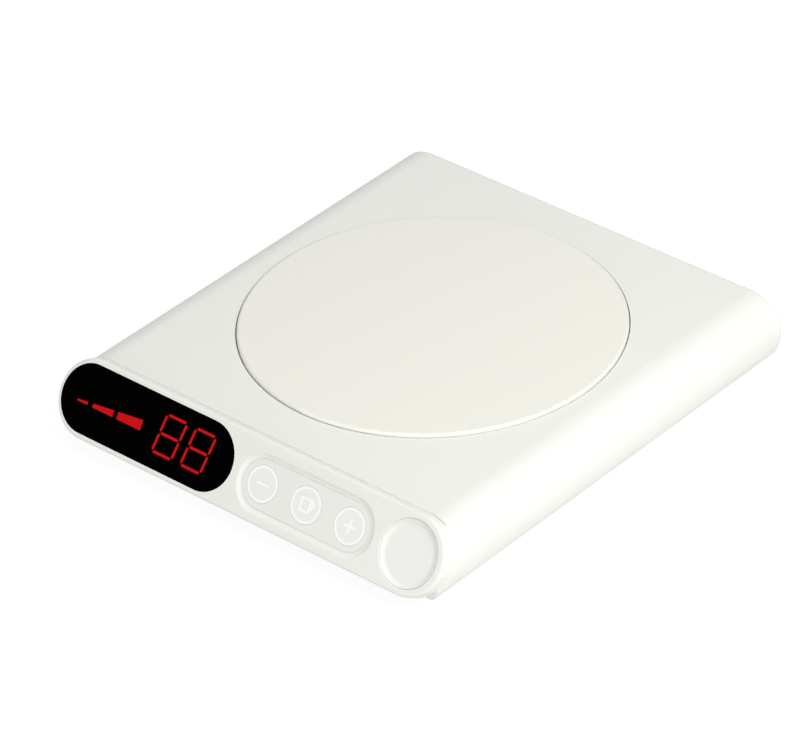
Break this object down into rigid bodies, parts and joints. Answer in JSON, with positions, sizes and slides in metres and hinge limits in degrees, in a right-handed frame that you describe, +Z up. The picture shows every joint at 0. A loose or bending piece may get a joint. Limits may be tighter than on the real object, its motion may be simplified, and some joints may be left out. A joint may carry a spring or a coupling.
{
  "type": "electric mug warmer",
  "caption": "Flat electric mug warmer with a round heating plate, and a slanted front panel with a display, push keys and a dished power button.",
  "frame": {"origin": "on the table, under the middle of the housing's outline", "axes": "+Z up, +Y from the front panel towards the back wall, +X to the right as the user faces the panel"},
  "size_m": [0.1152, 0.1256, 0.0209],
  "materials": {
    "housing": "fine satin grain, off-white",
    "base": "fine satin grain, off-white",
    "panel": "smooth satin, off-white",
    "screw_steel": "zinc-plated",
    "foot_rubber": "dull",
    "window": "polished black tint",
    "light_shade": "dull",
    "lit_red": "lit from behind",
    "led_chip": "clear resin over yellow",
    "circuit_board": "solder-resist lacquer",
    "key_insert": "smooth satin, pale grey-white",
    "key_cap": "smooth satin, pale grey-white",
    "key_mark": "smooth satin, white",
    "power_cap": "smooth satin, off-white",
    "switch_body": "dull",
    "plunger": "smooth",
    "plate": "fine-grained heat-proof coat, off-white",
    "seal": "dull",
    "spreader": "rolled",
    "heater_film": "amber film with etched tracks",
    "insulation": "felted fibre",
    "clamp": "pressed, zinc-plated",
    "sensor": "epoxy bead",
    "fuse_case": "drawn case",
    "fuse_clip": "spring strip",
    "lead_sleeve": "silicone sleeve",
    "coil": "ferrite with lacquered winding",
    "capacitor_can": "drawn can",
    "chip": "moulded epoxy",
    "inlet_steel": "drawn shell",
    "inlet_tongue": "moulded",
    "ribbon": "flat film cable",
    "socket": "moulded"
  },
  "bodies": {
    "housing": {"top_cover": "housing", "base_cover": "base", "housing_screws": "screw_steel", "foot_front_left": "foot_rubber", "foot_front_right": "foot_rubber", "foot_back_left": "foot_rubber", "foot_back_right": "foot_rubber", "front_bezel": "panel", "display_window": "window", "light_shade": "light_shade", "display_digits": "lit_red", "level_bars": "lit_red", "display_leds": "led_chip", "control_board": "circuit_board", "control_screws": "screw_steel", "key_insert": "key_insert", "minus_switch": "switch_body", "cup_switch": "switch_body", "plus_switch": "switch_body", "power_switch": "switch_body", "heating_plate": "plate", "plate_seal": "seal", "heat_spreader": "spreader", "heating_element": "heater_film", "insulation_pad": "insulation", "clamp_plate": "clamp", "clamp_screws": "screw_steel", "temperature_sensor": "sensor", "thermal_fuse": "fuse_case", "fuse_clip": "fuse_clip", "heater_leads": "lead_sleeve", "main_board": "circuit_board", "board_screws": "screw_steel", "power_coil": "coil", "smoothing_capacitors": "capacitor_can", "power_chip": "chip", "inlet_shell": "inlet_steel", "inlet_tongue": "inlet_tongue", "ribbon_cable": "ribbon", "ribbon_sockets": "socket"},
    "minus_key": {"minus_button": "key_cap", "minus_plunger": "plunger", "minus_mark": "key_mark"},
    "cup_key": {"cup_button": "key_cap", "cup_plunger": "plunger", "cup_mark": "key_mark"},
    "plus_key": {"plus_button": "key_cap", "plus_plunger": "plunger", "plus_mark": "key_mark"},
    "power_key": {"power_button": "power_cap", "power_plunger": "plunger"}
  },
  "joints": [
    {"name": "minus_press", "type": "slide", "parent": "housing", "child": "minus_key", "axis": [0, 0.8387, -0.5446], "range_m": [0, 0.0004], "stiffness_N_per_m": 4000},
    {"name": "cup_press", "type": "slide", "parent": "housing", "child": "cup_key", "axis": [0, 0.8387, -0.5446], "range_m": [0, 0.0004], "stiffness_N_per_m": 4000},
    {"name": "plus_press", "type": "slide", "parent": "housing", "child": "plus_key", "axis": [0, 0.8387, -0.5446], "range_m": [0, 0.0004], "stiffness_N_per_m": 4000},
    {"name": "power_press", "type": "slide", "parent": "housing", "child": "power_key", "axis": [0, 0.8387, -0.5446], "range_m": [0, 0.0005], "stiffness_N_per_m": 4000}
  ]
}
